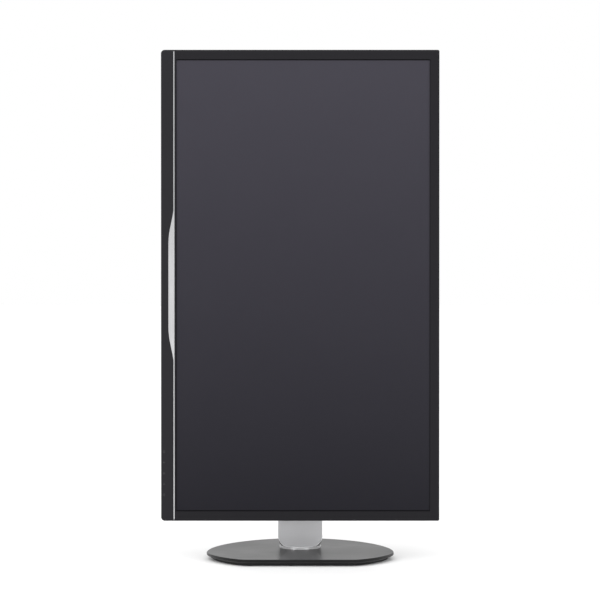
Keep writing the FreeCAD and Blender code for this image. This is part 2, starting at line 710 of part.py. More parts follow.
def hinge_fasteners():
    """The yoke's four screws and the tilt pin's two nuts."""
    screws = [screw(3.2, 2.4, 2.0, 7.0, Vector(x, 1, z), Vector(0, 1, 0)) for x, z in YOKE_SCREWS]
    nuts = mirrored(hex_nut(7.5, TILT_PIN_R + 0.02, tilt_point(29.5), tilt_point(33.5)))
    return Part.makeCompound(screws + [nuts])


def tilt_axle():
    return rod(TILT_PIN_R, tilt_point(-34), tilt_point(34))


def carriage():
    half = CARRIAGE_HALF_W
    front = block(-half, half, 4, 9, CARRIAGE_LOW, CARRIAGE_HIGH)
    sides = [
        block(-half, -half + 3, 9, 30, CARRIAGE_LOW + 5, CARRIAGE_HIGH - 5),
        block(half - 3, half, 9, 30, CARRIAGE_LOW + 5, CARRIAGE_HIGH - 5),
    ]
    body = fused([front] + sides)
    bores = [rod(SPRING_PIN_R + 0.02, Vector(-25, COIL_Y, COIL_Z), Vector(25, COIL_Y, COIL_Z))]
    for x, z in YOKE_SCREWS:
        bores.append(rod(2.1, Vector(x, 3, z), Vector(x, 10, z)))
    return cut_all(body, bores)


def moving_rails():
    rail = block(CARRIAGE_HALF_W, CARRIAGE_HALF_W + 2, 13, 27, CARRIAGE_LOW - 3, CARRIAGE_HIGH - 2)
    return mirrored(rail)


def spring_axle():
    return rod(SPRING_PIN_R, Vector(-18.9, COIL_Y, COIL_Z), Vector(18.9, COIL_Y, COIL_Z))


def lift_spring_strips():
    """The straight run of each constant-force spring, from its coil up to the bar at the top of the mast."""
    strip = block(1.5, 14.5, COIL_Y + COIL_R + 0.1, COIL_Y + COIL_R + 0.6, COIL_Z, 468)
    return mirrored(strip)


def spring_hub():
    return tube(HUB_R, SPRING_PIN_R + RUNNING, Vector(-15.5, COIL_Y, COIL_Z), Vector(15.5, COIL_Y, COIL_Z))


def lift_spring_coils():
    """The wound part of both springs: rings with the edges of the turns showing on their sides."""
    coil = tube(COIL_R, HUB_R + 0.02, Vector(1.5, COIL_Y, COIL_Z), Vector(14.5, COIL_Y, COIL_Z))
    grooves = []
    for radius in (7.2, 8.4, 9.6):
        for x in (1.4, 14.2):
            grooves.append(
                tube(radius + 0.25, radius, Vector(x, COIL_Y, COIL_Z), Vector(x + 0.4, COIL_Y, COIL_Z))
            )
    return mirrored(cut_all(coil, grooves))


def ball_places():
    for y in BALL_ROWS_Y:
        for i in range(BALLS_PER_ROW):
            yield y, BALL_LOW + i * BALL_PITCH


def ball_cages():
    strip = block(BALL_X - 0.5, BALL_X + 0.5, 14, 26, CAGE_LOW, CAGE_HIGH)
    holes = [
        rod(BALL_R + 0.02, Vector(BALL_X - 2, y, z), Vector(BALL_X + 2, y, z)) for y, z in ball_places()
    ]
    return mirrored(cut_all(strip, holes))


def bearing_balls():
    balls = []
    for y, z in ball_places():
        for x in (-BALL_X, BALL_X):
            balls.append(Part.makeSphere(BALL_R, Vector(x, y, z)))
    return Part.makeCompound(balls)


# ---------------------------------------------------------------- mast
def shield_section(inset, z0, z1):
    """The front cover's plan: a shallow arc in front, square at the back."""
    half, back = SHIELD_HALF_W - inset, SHIELD_BACK
    left, right = Vector(-half, SHIELD_EDGE + inset, z0), Vector(half, SHIELD_EDGE + inset, z0)
    edges = [
        Part.Arc(left, Vector(0, SHIELD_FRONT + inset, z0), right).toShape(),
        Part.makeLine(right, Vector(half, back, z0)),
        Part.makeLine(Vector(half, back, z0), Vector(-half, back, z0)),
        Part.makeLine(Vector(-half, back, z0), left),
    ]
    return Part.Face(Part.Wire(Part.sortEdges(edges)[0])).extrude(Vector(0, 0, z1 - z0))


def mast_slab(half_w, radius, y0, y1, inset=0, front_inset=None):
    """The mast's outline seen from the front, drawn in by inset, as a solid from y0 to y1."""

    def wire(pull, y):
        reach = half_w - pull
        return upright_rect(-reach, reach, MAST_LOW + pull, MAST_HIGH - pull, radius - pull, y)

    front = wire(inset if front_inset is None else front_inset, y0)
    return Part.makeLoft([front, wire(inset, y1)], True, True)


def foot_room(z0, z1):
    return Part.makeCylinder(FOOT_R + 0.8, z1 - z0, Vector(0, SWIVEL_Y, z0))


def mast_front_cover():
    """The bright front of the mast: a bowed shield with an eased edge and the arm's slot."""
    low, high = MAST_LOW - 1, MAST_HIGH + 1
    front, back = SHIELD_FRONT - 0.5, SHIELD_BACK
    half, radius = SHIELD_HALF_W, SHIELD_CORNER_R
    eased = mast_slab(half, radius, front, SHIELD_EDGE + 1.5, 0, SHIELD_EASE)
    shape = eased.fuse(mast_slab(half, radius, SHIELD_EDGE + 1.5, back)).removeSplitter()
    room = mast_slab(half, radius, front, back + 1, SHELL, SHELL + 1.6)
    inner = shield_section(SHELL, low, high).common(room)
    slot = upright_rect(-SLOT_HALF_W, SLOT_HALF_W, SLOT_LOW, SLOT_HIGH, 8, front - 1, SHIELD_EDGE + 8)
    cover = shield_section(0, low, high).common(shape).cut(inner).cut(slot)
    cover = cover.cut(foot_room(low, FOOT_TOP + 1))
    near, far = CHANNEL_HALF_W + 0.05, half - SHELL + 0.5
    ribs = []
    for z in SHIELD_RIBS_Z:
        ribs.append(block(near, far, 1, 6, z, z + 3))
        ribs.append(block(-far, -near, 1, 6, z, z + 3))
    return fused([cover] + ribs)


def rear_section(inset, z0, z1):
    half, back = REAR_HALF_W - inset, REAR_BACK - inset
    front = SHIELD_BACK + 0.3 - (1 if inset else 0)
    corners = [
        Vector(-half, front, z0),
        Vector(half, front, z0),
        Vector(half, back, z0),
        Vector(-half, back, z0),
    ]
    return prism(corners, [0, 0, 12 - inset, 12 - inset], Vector(0, 0, z1 - z0))


REAR_TOP = 471.5
MAST_SCREWS = [(-12, 64), (12, 64), (-12, 300), (12, 300)]


def mast_rear_cover():
    front, back = SHIELD_BACK, REAR_BACK + 1
    hollow = rear_section(SHELL, MAST_LOW - 1, REAR_TOP + 1)
    hollow = hollow.common(mast_slab(REAR_HALF_W, REAR_CORNER_R, front - 2, back, SHELL))
    hollow = hollow.fuse(foot_room(MAST_LOW - 1, FOOT_TOP + 1))
    shape = mast_slab(REAR_HALF_W, REAR_CORNER_R, front, back)
    shell = rear_section(0, MAST_LOW, REAR_TOP).common(shape).cut(hollow)
    posts = []
    holes = []
    for x, z in MAST_SCREWS:
        posts.append(rod(5.0, Vector(x, CHANNEL_BACK + 0.05, z), Vector(x, REAR_BACK - SHELL + 0.5, z)))
        holes.append(rod(1.7, Vector(x, CHANNEL_BACK, z), Vector(x, 45, z)))
        holes.append(rod(3.6, Vector(x, REAR_BACK - 1.2, z), Vector(x, 45, z)))
    for x in (-11, 11):
        holes.append(rod(2.1, Vector(x, 40, CLIP_Z), Vector(x, 45, CLIP_Z)))
    return cut_all(fused([shell] + posts), holes)


def mast_top_cap():
    top = rear_section(0, REAR_TOP + 0.3, MAST_HIGH)
    rim = [e for e in top.Edges if e.BoundBox.ZMin > MAST_HIGH - 0.01]
    rim = [e for e in rim if e.BoundBox.YMax > SHIELD_BACK + 1]
    outline = mast_slab(REAR_HALF_W, REAR_CORNER_R, SHIELD_BACK, REAR_BACK + 1)
    top = top.makeChamfer(2.0, rim).common(outline)
    skirt = rear_section(SHELL + 0.2, REAR_TOP - 5, REAR_TOP + 0.4)
    skirt = skirt.cut(block(-40, 40, 0, SHIELD_BACK + 1.5, 400, 500))
    return fused([top, skirt]).cut(rear_section(SHELL + 1.8, REAR_TOP - 6, MAST_HIGH - 3.0))


CLIP_Z = 120.0


def cable_clip():
    """The open plastic ring behind the mast that gathers cables."""
    outer = prism(
        [
            Vector(-24, REAR_BACK, CLIP_Z - 11),
            Vector(24, REAR_BACK, CLIP_Z - 11),
            Vector(24, REAR_BACK + 22, CLIP_Z - 11),
            Vector(-24, REAR_BACK + 22, CLIP_Z - 11),
        ],
        [3, 3, 11, 11],
        Vector(0, 0, 22),
    )
    inner = prism(
        [
            Vector(-21, REAR_BACK + 3, CLIP_Z - 12),
            Vector(21, REAR_BACK + 3, CLIP_Z - 12),
            Vector(21, REAR_BACK + 19, CLIP_Z - 12),
            Vector(-21, REAR_BACK + 19, CLIP_Z - 12),
        ],
        [2, 2, 8, 8],
        Vector(0, 0, 24),
    )
    mouth = block(2, 11, REAR_BACK + 15, REAR_BACK + 30, CLIP_Z - 12, CLIP_Z + 12)
    pegs = [rod(2.0, Vector(x, REAR_BACK - SHELL, CLIP_Z), Vector(x, REAR_BACK + 1, CLIP_Z)) for x in (-11, 11)]
    return fused([outer.cut(inner).cut(mouth)] + pegs)


def mast_screws():
    return Part.makeCompound(
        [screw(3.4, 1.1, 1.5, 8.5, Vector(x, REAR_BACK - 1.2, z), Vector(0, -1, 0)) for x, z in MAST_SCREWS]
    )


def mast_frame():
    """Steel channel, open to the front, with a foot flange and the bar that holds the springs' ends."""
    half, inner = CHANNEL_HALF_W, CHANNEL_HALF_W - STEEL
    corners = [
        Vector(-half, CHANNEL_FRONT, CHANNEL_LOW),
        Vector(half, CHANNEL_FRONT, CHANNEL_LOW),
        Vector(half, CHANNEL_BACK, CHANNEL_LOW),
        Vector(-half, CHANNEL_BACK, CHANNEL_LOW),
    ]
    outer = prism(corners, [0, 0, 4, 4], Vector(0, 0, CHANNEL_HIGH - CHANNEL_LOW))
    front, low, high = CHANNEL_FRONT - 1, CHANNEL_LOW, CHANNEL_HIGH
    hollow = block(-inner, inner, front, CHANNEL_BACK - STEEL, low + 3, high + 1)
    bar = block(-inner, inner, 20, COIL_Y + COIL_R, 463, high - 1)
    holes = [rod(1.7, Vector(x, 34, z), Vector(x, 39, z)) for x, z in MAST_SCREWS]
    # room for the front cover's round lower corners
    holes.append(block(-half - 1, half + 1, front, SHIELD_BACK + 0.4, low - 1, low + 10))
    return cut_all(fused([outer.cut(hollow), bar]), holes)


def fixed_rails():
    inner = CHANNEL_HALF_W - STEEL
    rail = block(inner - 1.5, inner, 12, 28, 190, 460)
    return mirrored(rail)


def swivel_foot():
    """The turning foot: disc, spigot through the base plate, and the stop tab in front."""
    disc = Part.makeCylinder(FOOT_R, FOOT_TOP - 12.5, Vector(0, SWIVEL_Y, 12.5))
    spigot = Part.makeCylinder(10, 10, Vector(0, SWIVEL_Y, 2.6))
    tab = block(-1.6, 1.6, SWIVEL_Y - STOP_R - 1.6, SWIVEL_Y - STOP_R + 1.6, 9.8, 13)
    return fused([disc, spigot, tab])


def swivel_collar():
    """The bright round collar between the mast's covers and the base."""
    ring = Part.makeCylinder(COLLAR_R, COLLAR_HIGH - COLLAR_LOW, Vector(0, SWIVEL_Y, COLLAR_LOW))
    ring = ring.makeChamfer(0.5, [e for e in ring.Edges if e.BoundBox.ZMin > COLLAR_HIGH - 0.01])
    return ring.cut(foot_room(COLLAR_LOW - 1, COLLAR_HIGH + 1))


def swivel_nut():
    centre = Vector(0, SWIVEL_Y, 2.6)
    return hex_nut(14.5, 10.02, centre, centre + Vector(0, 0, 2.3))


# ---------------------------------------------------------------- base
def curve(start, corner, end, fullness):
    """A conic from start to end that leaves along start-corner and arrives along corner-end."""
    bezier = Part.BezierCurve()
    bezier.setPoles([start, corner, end])
    bezier.setWeight(2, fullness)
    return bezier.toShape()


def base_wire(inset, z):
    """Plan of the base: straight front, drawn to a blunt tip at each side, and bowed behind."""
    half, straight = BASE_HALF_W - inset, BASE_STRAIGHT
    front, back = BASE_FRONT + inset, BASE_BACK - inset
    edges = [Part.makeLine(Vector(-straight, front, z), Vector(straight, front, z))]
    for side in (1, -1):
        tip = Vector(side * half, BASE_TIP_Y, z)
        start = Vector(side * straight, front, z)
        edges.append(curve(start, Vector(side * half, front, z), tip, FRONT_FULLNESS))
        edges.append(curve(tip, Vector(side * half, back, z), Vector(0, back, z), REAR_FULLNESS))
    return Part.Wire(Part.sortEdges(edges)[0])


def base_stack(sections):
    """A solid through plans of the base, given as (inset, z)."""
    solids = []
    for (inset, z), (inset_up, z_up) in zip(sections, sections[1:]):
        solids.append(Part.makeLoft([base_wire(inset, z), base_wire(inset_up, z_up)], True, True))
    return fused(solids)


def base_top_cover():
    outer = base_stack([(4.5, 4.6), (0.4, 6.8), (0.0, 7.6), (0.0, 10.6), (0.4, BASE_TOP)])
    inner = base_stack([(8.5, 4.0), (8.5, PLATE_HIGH)])
    opening = Part.makeCylinder(FOOT_R + 1.5, 20, Vector(0, SWIVEL_Y, 0))
    return outer.cut(inner).cut(opening)


BASE_SCREWS = [(-70, -70), (70, -70), (-60, 66), (60, 66)]


def base_weight_plate():
    plate = base_stack([(9.0, PLATE_LOW), (9.0, PLATE_HIGH)])
    stop = Part.makeCylinder(1.5, 3.0, Vector(0, SWIVEL_Y + STOP_R, PLATE_HIGH))
    holes = [Part.makeCylinder(2.1, 10, Vector(x, y, 0)) for x, y in BASE_SCREWS]
    holes.append(Part.makeCylinder(10 + RUNNING, 10, Vector(0, SWIVEL_Y, 2)))
    return cut_all(plate.fuse(stop).removeSplitter(), holes)


def base_bottom_cover():
    outer = fused([base_stack([(9.5, 1.0), (7.0, 4.2)]), base_stack([(8.6, 4.1), (8.6, PLATE_LOW)])])
    pocket = base_stack([(13.0, 3.0), (13.0, 6.0)])
    keep = [Part.makeCylinder(7, 5, Vector(x, y, 0)) for x, y in BASE_SCREWS]
    keep.append(Part.makeCylinder(22, 5, Vector(0, SWIVEL_Y, 0)))
    body = outer.cut(cut_all(pocket, keep))
    holes = [Part.makeCylinder(16.5, 8, Vector(0, SWIVEL_Y, 0))]
    holes += [Part.makeCylinder(9.1, 1.6, Vector(x, y, 0)) for x, y in FEET]
    for x, y in BASE_SCREWS:
        holes.append(Part.makeCylinder(2.1, 8, Vector(x, y, 0)))
        holes.append(Part.makeCylinder(4.3, 2.3, Vector(x, y, 0)))
    return cut_all(body, holes)


def rubber_feet():
    pads = []
    for x, y in FEET:
        pad = Part.makeCylinder(9.0, 1.6, Vector(x, y, 0))
        pads.append(pad.makeChamfer(0.4, [e for e in pad.Edges if e.BoundBox.ZMax < 0.01]))
    return Part.makeCompound(pads)


def base_screws():
    up = Vector(0, 0, 1)
    return Part.makeCompound([screw(4.0, 1.1, 2.0, 6.0, Vector(x, y, 2.3), up) for x, y in BASE_SCREWS])


def swivel_washer():
    return tube(17, 10.4, Vector(0, SWIVEL_Y, PLATE_HIGH), Vector(0, SWIVEL_Y, 12.4))


# ---------------------------------------------------------------- export
DISPLAY_PARTS = [
    front_bezel,
    accent_trim,
    lcd_panel,
    panel_frame,
    optical_films,
    light_guide,
    led_strip,
    backlight_chassis,
    vesa_bracket,
    rear_cover,
    main_board,
    power_board,
    io_connectors,
    power_inlet,
    mains_rocker,
    rocker_pin,
    speakers,
    key_board,
    release_button,
    cover_screws,
    stand_plate,
]
STAND_PARTS = [
    pivot_shaft,
    pivot_washers,
    pivot_nut,
    tilt_bracket,
    tilt_washers,
    torsion_springs,
    head_cover,
    hinge_yoke,
    hinge_fasteners,
    tilt_axle,
    carriage,
    moving_rails,
    spring_axle,
    lift_spring_strips,
    spring_hub,
    lift_spring_coils,
    ball_cages,
    bearing_balls,
    mast_front_cover,
    mast_rear_cover,
    mast_top_cap,
    cable_clip,
    mast_screws,
    mast_frame,
    fixed_rails,
    swivel_foot,
    swivel_collar,
    swivel_nut,
    base_top_cover,
    base_weight_plate,
    base_bottom_cover,
    rubber_feet,
    base_screws,
    swivel_washer,
]


def write(name, shape):
    """Writes a sub-part's solids to its STEP file."""
    solids = shape.Solids
    for solid in solids:
        if not solid.isValid() or solid.Volume <= 0:
            print("WARNING: bad solid in", name)
    whole = solids[0] if len(solids) == 1 else Part.makeCompound(solids)
    whole.exportStep(f"parts/{name}.step")


def main():
    os.makedirs("parts", exist_ok=True)
    for make in DISPLAY_PARTS:
        write(make.__name__, to_portrait(make()))
    for i, name in enumerate(KEY_NAMES):
        write(name, to_portrait(key(KEY_FIRST_U + i * KEY_PITCH)))
    for make in STAND_PARTS:
        write(make.__name__, make())


main()
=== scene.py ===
import json
import math

import bmesh
import bpy
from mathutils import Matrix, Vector


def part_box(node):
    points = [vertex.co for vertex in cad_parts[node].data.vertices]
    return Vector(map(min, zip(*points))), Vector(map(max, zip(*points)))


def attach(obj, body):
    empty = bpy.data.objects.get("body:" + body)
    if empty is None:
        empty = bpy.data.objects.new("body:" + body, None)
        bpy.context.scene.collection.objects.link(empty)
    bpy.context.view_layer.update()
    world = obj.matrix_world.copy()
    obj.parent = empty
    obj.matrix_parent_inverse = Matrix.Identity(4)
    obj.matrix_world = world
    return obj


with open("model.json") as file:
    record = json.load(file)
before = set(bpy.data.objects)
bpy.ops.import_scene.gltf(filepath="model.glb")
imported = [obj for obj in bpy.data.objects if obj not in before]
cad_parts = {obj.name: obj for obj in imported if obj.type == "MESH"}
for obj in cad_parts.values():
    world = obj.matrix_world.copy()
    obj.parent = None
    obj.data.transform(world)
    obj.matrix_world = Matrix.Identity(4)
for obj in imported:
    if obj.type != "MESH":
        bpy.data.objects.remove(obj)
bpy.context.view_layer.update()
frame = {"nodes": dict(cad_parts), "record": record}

NODES = frame["nodes"]


# ---------------------------------------------------------------- materials
def links(tree, *pairs):
    for start, end in pairs:
        tree.links.new(start, end)


def textured(name, colour, rough, metal=0.0, specular=0.5, grain=1800.0, bump=0.08, depth=0.00006,
             stretch=(1, 1, 1), spread=0.06, cloud=9.0, rough_spread=0.06, coat=0.0, coat_rough=0.1):
    """A surface with fine grain, a slow change of colour and a change of gloss. Sizes are in metres."""
    mat = bpy.data.materials.new(name)
    mat.use_nodes = True
    tree = mat.node_tree
    bsdf = tree.nodes["Principled BSDF"]
    bsdf.inputs["Metallic"].default_value = metal
    bsdf.inputs["Specular IOR Level"].default_value = specular
    bsdf.inputs["Coat Weight"].default_value = coat
    bsdf.inputs["Coat Roughness"].default_value = coat_rough
    place = tree.nodes.new("ShaderNodeTexCoord")
    scaled = tree.nodes.new("ShaderNodeMapping")
    scaled.inputs["Scale"].default_value = stretch
    fine = tree.nodes.new("ShaderNodeTexNoise")
    fine.inputs["Scale"].default_value = grain
    fine.inputs["Detail"].default_value = 3.0
    slow = tree.nodes.new("ShaderNodeTexNoise")
    slow.inputs["Scale"].default_value = cloud
    slow.inputs["Detail"].default_value = 4.0
    both = tree.nodes.new("ShaderNodeMix")
    both.data_type = "FLOAT"
    both.inputs["Factor"].default_value = 0.5
    ramp = tree.nodes.new("ShaderNodeValToRGB")
    low, high = ramp.color_ramp.elements
    low.position, high.position = 0.3, 0.7
    low.color = [c * (1 - spread) for c in colour] + [1]
    high.color = [min(c * (1 + spread), 1.0) for c in colour] + [1]
    gloss = tree.nodes.new("ShaderNodeMapRange")
    gloss.inputs["From Min"].default_value = 0.3
    gloss.inputs["From Max"].default_value = 0.7
    gloss.inputs["To Min"].default_value = max(rough - rough_spread, 0.02)
    gloss.inputs["To Max"].default_value = min(rough + rough_spread, 1.0)
    relief = tree.nodes.new("ShaderNodeBump")
    relief.inputs["Strength"].default_value = bump
    relief.inputs["Distance"].default_value = depth
    links(
        tree,
        (place.outputs["Object"], scaled.inputs["Vector"]),
        (scaled.outputs["Vector"], fine.inputs["Vector"]),
        (place.outputs["Object"], slow.inputs["Vector"]),
        (fine.outputs["Fac"], both.inputs["A"]),
        (slow.outputs["Fac"], both.inputs["B"]),
        (both.outputs["Result"], ramp.inputs["Fac"]),
        (both.outputs["Result"], gloss.inputs["Value"]),
        (ramp.outputs["Color"], bsdf.inputs["Base Color"]),
        (gloss.outputs["Result"], bsdf.inputs["Roughness"]),
        (fine.outputs["Fac"], relief.inputs["Height"]),
        (relief.outputs["Normal"], bsdf.inputs["Normal"]),
    )
    return mat


BEZEL = textured("bezel_plastic", (0.0092, 0.0088, 0.0108), 0.42, specular=0.15, bump=0.12)
REAR = textured("rear_plastic", (0.016, 0.016, 0.018), 0.55, specular=0.3, grain=1100, bump=0.35,
                depth=0.00012)
TRIM = textured("trim_silver", (0.55, 0.55, 0.56), 0.22, metal=1.0, grain=600, stretch=(1, 1, 0.04),
                bump=0.05, rough_spread=0.05)
SCREEN = textured("screen_glass", (0.010, 0.009, 0.014), 0.36, specular=0.17, grain=3500, bump=0.1,
                  depth=0.00003, spread=0.02)
MAST = textured("mast_silver", (0.61, 0.61, 0.625), 0.36, metal=0.3, grain=2600, bump=0.06, spread=0.03,
                coat=0.15, coat_rough=0.2)
# painted highlight: a near-white line along the mast shield's lower edge
EDGE_HIGHLIGHT = textured("shield_edge_highlight", (0.93, 0.93, 0.94), 0.3, grain=900, bump=0.03, spread=0.03)
COLLAR = textured("collar_silver", (0.72, 0.72, 0.73), 0.3, metal=0.5, grain=900, bump=0.03, spread=0.03)
# part print, part painted shade: the dark border on the glass under the bezel's lip
BORDER_AND_SHADE = textured("border_print_and_shade", (0.0015, 0.0015, 0.0017), 0.8, specular=0.05, grain=2600, bump=0.05)
DARK = textured("mast_dark", (0.017, 0.017, 0.019), 0.5, specular=0.3, grain=1300, bump=0.3, depth=0.0001)
BASE = textured("base_satin", (0.03, 0.03, 0.031), 0.34, specular=0.2, grain=900,
                stretch=(0.03, 1, 1), bump=0.05, spread=0.08)
BLACK = textured("black_plastic", (0.012, 0.012, 0.013), 0.6, specular=0.3, grain=900, bump=0.4, depth=0.0001)
RUBBER = textured("rubber", (0.02, 0.02, 0.02), 0.85, specular=0.3, grain=1400, bump=0.4, depth=0.0001)
KEYS = textured("key_plastic", (0.02, 0.02, 0.022), 0.35, specular=0.35, grain=2200, bump=0.08)
POWDER = textured("powder_coat", (0.02, 0.02, 0.021), 0.45, specular=0.4, grain=1500, bump=0.5, depth=0.00012)
STEEL = textured("steel", (0.50, 0.50, 0.51), 0.3, metal=1.0, grain=700, stretch=(1, 1, 0.08), bump=0.1,
                 spread=0.1)
ZINC = textured("zinc", (0.58, 0.58, 0.56), 0.24, metal=1.0, grain=400, bump=0.1, spread=0.12, cloud=60)
CAST = textured("cast_zinc", (0.42, 0.43, 0.44), 0.42, metal=1.0, grain=900, bump=0.5, depth=0.0001,
                spread=0.1)
SPRING = textured("spring_steel", (0.30, 0.31, 0.35), 0.25, metal=1.0, grain=900, stretch=(1, 1, 0.05),
                  bump=0.1)
BRASS = textured("brass", (0.62, 0.45, 0.20), 0.3, metal=1.0, grain=800, bump=0.1, spread=0.1)
NYLON = textured("nylon", (0.72, 0.70, 0.63), 0.45, grain=700, bump=0.1, spread=0.05)
BOARD = textured("circuit_board", (0.02, 0.12, 0.05), 0.4, grain=260, bump=0.3, depth=0.0002, spread=0.35,
                 cloud=60)
WHITE = textured("white_sheet", (0.78, 0.79, 0.80), 0.4, grain=1500, bump=0.1, spread=0.03)
CLEAR = textured("acrylic", (0.70, 0.78, 0.79), 0.12, grain=500, bump=0.02, spread=0.03)
SOCKET = textured("socket_metal", (0.62, 0.61, 0.58), 0.22, metal=1.0, grain=900, bump=0.05, spread=0.06)
ICON = textured("icon_print", (0.055, 0.055, 0.058), 0.5, specular=0.3, grain=2600, bump=0.05, spread=0.05)


def paint_sheen_ramp(mat, axis, start, end, first, last):
    """Paints a sheen: turns the surface's colour from first to last along one axis, from start to end in
    metres.
    """
    tree = mat.node_tree
    bsdf = tree.nodes["Principled BSDF"]
    old = bsdf.inputs["Base Color"].links[0].from_socket
    place = tree.nodes.new("ShaderNodeTexCoord")
    split = tree.nodes.new("ShaderNodeSeparateXYZ")
    along = tree.nodes.new("ShaderNodeMapRange")
    along.inputs["From Min"].default_value = start
    along.inputs["From Max"].default_value = end
    blend = tree.nodes.new("ShaderNodeMix")
    blend.data_type = "RGBA"
    blend.inputs["A"].default_value = (*first, 1)
    blend.inputs["B"].default_value = (*last, 1)
    mixed = tree.nodes.new("ShaderNodeMix")
    mixed.data_type = "RGBA"
    mixed.inputs["Factor"].default_value = 0.9
    links(
        tree,
        (place.outputs["Object"], split.inputs["Vector"]),
        (split.outputs[axis], along.inputs["Value"]),
        (along.outputs["Result"], blend.inputs["Factor"]),
        (old, mixed.inputs["A"]),
        (blend.outputs["Result"], mixed.inputs["B"]),
        (mixed.outputs["Result"], bsdf.inputs["Base Color"]),
    )


def paint_side_shade(mat, side):
    """Paints shade on the faces that aren't level: they get the colour side, darker than the level top."""
    tree = mat.node_tree
    bsdf = tree.nodes["Principled BSDF"]
    old = bsdf.inputs["Base Color"].links[0].from_socket
    place = tree.nodes.new("ShaderNodeTexCoord")
    split = tree.nodes.new("ShaderNodeSeparateXYZ")
    level = tree.nodes.new("ShaderNodeMapRange")
    level.inputs["From Min"].default_value = 0.55
    level.inputs["From Max"].default_value = 0.75
    blend = tree.nodes.new("ShaderNodeMix")
    blend.data_type = "RGBA"
    blend.inputs["A"].default_value = (*side, 1)
    links(
        tree,
        (place.outputs["Normal"], split.inputs["Vector"]),
        (split.outputs["Z"], level.inputs["Value"]),
        (level.outputs["Result"], blend.inputs["Factor"]),
        (old, blend.inputs["B"]),
        (blend.outputs["Result"], bsdf.inputs["Base Color"]),
    )


# Painted sheen: the switched-off screen's colour is painted lighter towards the top, and the chin is kept
# lighter than the rest of the bezel, both standing in for reflected light.
glass_low, glass_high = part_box("lcd_panel")
chin_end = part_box("accent_trim")[1][0]
# painted sheen on the screen: its colour lighter towards the top
paint_sheen_ramp(SCREEN, "Z", glass_low[2], glass_high[2], (0.0032, 0.0028, 0.0062), (0.032, 0.030, 0.040))
# painted sheen on the chin: the rest of the bezel painted darker than the chin
paint_sheen_ramp(BEZEL, "X", chin_end - 0.002, chin_end, (0.0092, 0.0088, 0.0108), (0.0052, 0.0048, 0.0066))
# painted shade: the base's sides painted darker than its level top
paint_side_shade(BASE, (0.004, 0.004, 0.0042))

LOOKS = {
    BEZEL: ["front_bezel", "head_cover"],
    REAR: ["rear_cover"],
    TRIM: ["accent_trim"],
    SCREEN: ["lcd_panel"],
    MAST: ["mast_front_cover"],
    COLLAR: ["swivel_collar"],
    DARK: ["mast_rear_cover", "mast_top_cap", "cable_clip"],
    BASE: ["base_top_cover"],
    BLACK: ["panel_frame", "power_inlet", "rocker_pin", "speakers", "base_bottom_cover"],
    RUBBER: ["rubber_feet"],
    KEYS: ["key_input", "key_volume", "key_menu", "key_back", "key_power", "release_button", "mains_rocker"],
    POWDER: ["stand_plate", "base_weight_plate", "cover_screws", "mast_screws", "base_screws"],
    STEEL: ["backlight_chassis", "vesa_bracket", "pivot_shaft", "pivot_washers", "tilt_washers", "tilt_axle",
            "carriage", "moving_rails", "fixed_rails", "spring_axle", "mast_frame", "swivel_foot"],
    ZINC: ["pivot_nut", "hinge_fasteners", "swivel_nut", "bearing_balls"],
    CAST: ["tilt_bracket", "hinge_yoke"],
    SPRING: ["torsion_springs", "lift_spring_strips", "lift_spring_coils"],
    BRASS: ["ball_cages"],
    NYLON: ["spring_hub", "swivel_washer"],
    BOARD: ["main_board", "power_board", "key_board"],
    WHITE: ["optical_films", "led_strip"],
    CLEAR: ["light_guide"],
    SOCKET: ["io_connectors"],
}
for look, names in LOOKS.items():
    for name in names:
        for slot in NODES[name].material_slots:
            slot.material = look


# ---------------------------------------------------------------- printed key marks
def new_piece(name, mesh, look, body):
    """Makes an object of the mesh, riding on one of the CAD's bodies."""
    bmesh.ops.recalc_face_normals(mesh, faces=mesh.faces)
    data = bpy.data.meshes.new(name)
    mesh.to_mesh(data)
    mesh.free()
    piece = bpy.data.objects.new(name, data)
    bpy.context.scene.collection.objects.link(piece)
    piece.data.materials.append(look)
    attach(piece, body)


def flat_piece(name, loops):
    """Thin raised marks: each loop is a list of (x, z) points in metres, in front of the chin's face."""
    face_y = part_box("front_bezel")[0][1]
    mesh = bmesh.new()
    for loop in loops:
        front = [mesh.verts.new((x, face_y - 0.00012, z)) for x, z in loop]
        back = [mesh.verts.new((x, face_y + 0.00003, z)) for x, z in loop]
        mesh.faces.new(front)
        mesh.faces.new(list(reversed(back)))
        for i in range(len(loop)):
            j = (i + 1) % len(loop)
            mesh.faces.new((front[i], back[i], back[j], front[j]))
    new_piece(name, mesh, ICON, "display")


MARK, LINE = 0.0016, 0.00035  # half height and line width of a key's sign
CHIN_MARK_X = 0.0045  # from the display's edge to the middle of the signs


def stroke(points):
    """Quads along a line of points."""
    quads = []
    for (x0, z0), (x1, z1) in zip(points, points[1:]):
        run = Vector((x1 - x0, z1 - z0))
        side = Vector((-run.y, run.x)).normalized() * LINE / 2
        quads.append([(x0 + side.x, z0 + side.y), (x1 + side.x, z1 + side.y), (x1 - side.x, z1 - side.y),
                      (x0 - side.x, z0 - side.y)])
    return quads


def mark_shapes(name, cx, cz):
    """The sign for a key, drawn turned a quarter turn as the display is. Up in the sign is +x."""
    def at(right, up):
        return (cx + up, cz - right)

    if name == "key_power":
        ring = stroke([at(math.sin(math.radians(a)) * MARK, math.cos(math.radians(a)) * MARK)
                       for a in range(35, 326, 15)])
        return ring + stroke([at(0, 0.2 * MARK), at(0, 1.25 * MARK)])
    if name == "key_back":
        return stroke([at(0.8 * MARK, MARK), at(-0.7 * MARK, 0), at(0.8 * MARK, -MARK)])
    if name == "key_menu":
        return [q for up in (-0.8, 0, 0.8) for q in stroke([at(-MARK, up * MARK), at(MARK, up * MARK)])]
    if name == "key_volume":
        return stroke([at(-MARK, 0), at(MARK, 0)]) + stroke([at(0, -MARK), at(0, MARK)])
    box = [at(-MARK, 0.8 * MARK), at(MARK, 0.8 * MARK), at(MARK, -0.8 * MARK), at(-MARK, -0.8 * MARK)]
    return stroke(box + box[:1])


